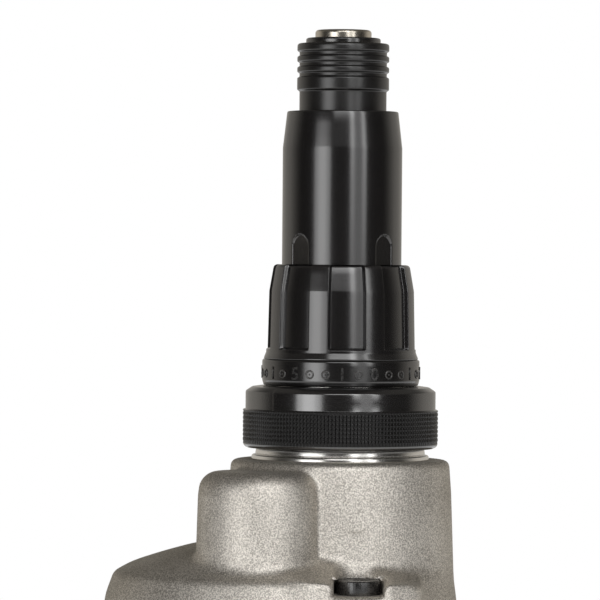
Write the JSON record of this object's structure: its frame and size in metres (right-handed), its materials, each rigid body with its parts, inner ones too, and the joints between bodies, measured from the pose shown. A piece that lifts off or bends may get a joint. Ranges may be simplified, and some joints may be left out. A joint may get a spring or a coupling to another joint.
{
  "type": "drywall screwdriver",
  "caption": "Pistol-grip drywall screwdriver: quick-change hex chuck, adjustable depth-stop sleeve, cast aluminium gear case and moulded motor housing.",
  "frame": {"origin": "where the spindle axis meets the flat back that the tool stands on", "axes": "+Z along the spindle axis towards the nose, handle towards -X"},
  "size_m": [0.1804, 0.0668, 0.2883],
  "materials": {
    "black_oxide_steel": "glossy black oxide",
    "bright_steel": "ground steel",
    "machined_aluminium": "turned, bright",
    "cast_aluminium": "sand cast and blasted",
    "sintered_bronze": "porous, oiled",
    "gear_steel": "hobbed and hardened",
    "core_steel": "stacked laminations",
    "copper_winding": "varnished wire",
    "commutator_copper": "turned copper bars",
    "brush_brass": "drawn brass",
    "brush_carbon": "pressed carbon",
    "housing_nylon": "moulded, fine texture",
    "control_plastic": "moulded, smooth",
    "fan_plastic": "moulded",
    "gland_rubber": "moulded rubber"
  },
  "bodies": {
    "housing": {"neck_bush": "machined_aluminium", "spindle_bush": "sintered_bronze", "clutch_spring": "bright_steel", "layshaft_front_bush": "sintered_bronze", "layshaft_rear_bush": "sintered_bronze", "gear_pin": "bright_steel", "pin_clip": "bright_steel", "gear_housing": "cast_aluminium", "gear_housing_screws": "black_oxide_steel", "gear_plate": "cast_aluminium", "motor_front_bearing": "bright_steel", "motor_rear_bearing": "bright_steel", "field_core": "core_steel", "field_coils": "copper_winding", "fan_baffle": "fan_plastic", "brush_holders": "brush_brass", "carbon_brushes": "brush_carbon", "brush_caps": "control_plastic", "motor_housing": "housing_nylon", "handle_left": "housing_nylon", "handle_right": "housing_nylon", "handle_screws": "black_oxide_steel", "switch_body": "control_plastic", "cord_gland": "gland_rubber"},
    "motor": {"armature_shaft": "bright_steel", "armature_core": "core_steel", "armature_windings": "copper_winding", "commutator": "commutator_copper", "motor_fan": "fan_plastic", "motor_pinion": "gear_steel"},
    "layshaft_body": {"layshaft": "gear_steel", "layshaft_gear": "gear_steel"},
    "clutch_gear": {"spindle_gear": "gear_steel", "gear_bush": "sintered_bronze"},
    "thrust": {"thrust_washer": "sintered_bronze"},
    "spindle_body": {"spindle": "bright_steel", "bit_holder": "bright_steel", "detent_ball": "bright_steel", "chuck_cap": "black_oxide_steel", "spring_clip": "bright_steel", "chuck_spring": "bright_steel"},
    "collar": {"chuck_collar": "black_oxide_steel"},
    "adjuster": {"adjusting_sleeve": "black_oxide_steel", "scale_ring": "black_oxide_steel"},
    "stop": {"stop_sleeve": "black_oxide_steel"},
    "lock": {"lock_collar": "black_oxide_steel"},
    "trigger_body": {"trigger": "control_plastic"},
    "lever": {"reversing_lever": "control_plastic"},
    "button": {"lock_button": "control_plastic"}
  },
  "joints": [
    {"name": "motor_spin", "type": "hinge", "parent": "housing", "child": "motor", "pos_m": [-0.011, 0, 0.124], "axis": [0, 0, 1], "continuous": true},
    {"name": "layshaft_spin", "type": "hinge", "parent": "housing", "child": "layshaft_body", "pos_m": [-0.01482, -0.01759, 0.188], "axis": [0, 0, 1], "continuous": true},
    {"name": "clutch_gear_spin", "type": "hinge", "parent": "housing", "child": "clutch_gear", "pos_m": [0, 0, 0.189], "axis": [0, 0, 1], "continuous": true},
    {"name": "spindle_push", "type": "slide", "parent": "housing", "child": "thrust", "axis": [0, 0, -1], "range_m": [0, 0.003], "stiffness_N_per_m": 1500, "springref_m": -0.004, "deforming": ["clutch_spring"]},
    {"name": "spindle_spin", "type": "hinge", "parent": "thrust", "child": "spindle_body", "pos_m": [0, 0, 0.24], "axis": [0, 0, 1], "continuous": true},
    {"name": "chuck_release", "type": "slide", "parent": "spindle_body", "child": "collar", "axis": [0, 0, -1], "range_m": [0, 0.003], "stiffness_N_per_m": 400, "springref_m": -0.004, "deforming": ["chuck_spring"]},
    {"name": "depth_turn", "type": "hinge", "parent": "housing", "child": "adjuster", "pos_m": [0, 0, 0.234], "axis": [0, 0, 1], "range_deg": [-185, 185]},
    {"name": "depth_travel", "type": "slide", "parent": "housing", "child": "stop", "axis": [0, 0, 1], "range_m": [-0.002, 0.002]},
    {"name": "lock_turn", "type": "hinge", "parent": "housing", "child": "lock", "pos_m": [0, 0, 0.217], "axis": [0, 0, 1], "range_deg": [0, 45]},
    {"name": "trigger_pull", "type": "slide", "parent": "housing", "child": "trigger_body", "axis": [0, 0, -1], "range_m": [0, 0.007], "stiffness_N_per_m": 500, "springref_m": -0.004},
    {"name": "reverse_turn", "type": "hinge", "parent": "housing", "child": "lever", "pos_m": [-0.064, -0.016, 0.021], "axis": [0, -1, 0], "range_deg": [-18, 18]},
    {"name": "lock_on_push", "type": "slide", "parent": "housing", "child": "button", "axis": [0, 1, 0], "range_m": [0, 0.003], "stiffness_N_per_m": 400, "springref_m": -0.003}
  ],
  "couplings": [
    {"joint": "layshaft_spin", "follows": "motor_spin", "ratio": -0.5},
    {"joint": "clutch_gear_spin", "follows": "motor_spin", "ratio": 0.19697},
    {"joint": "spindle_spin", "follows": "motor_spin", "ratio": 0.19697},
    {"joint": "depth_turn", "follows": "depth_travel", "rad_per_m": 1570.8}
  ]
}
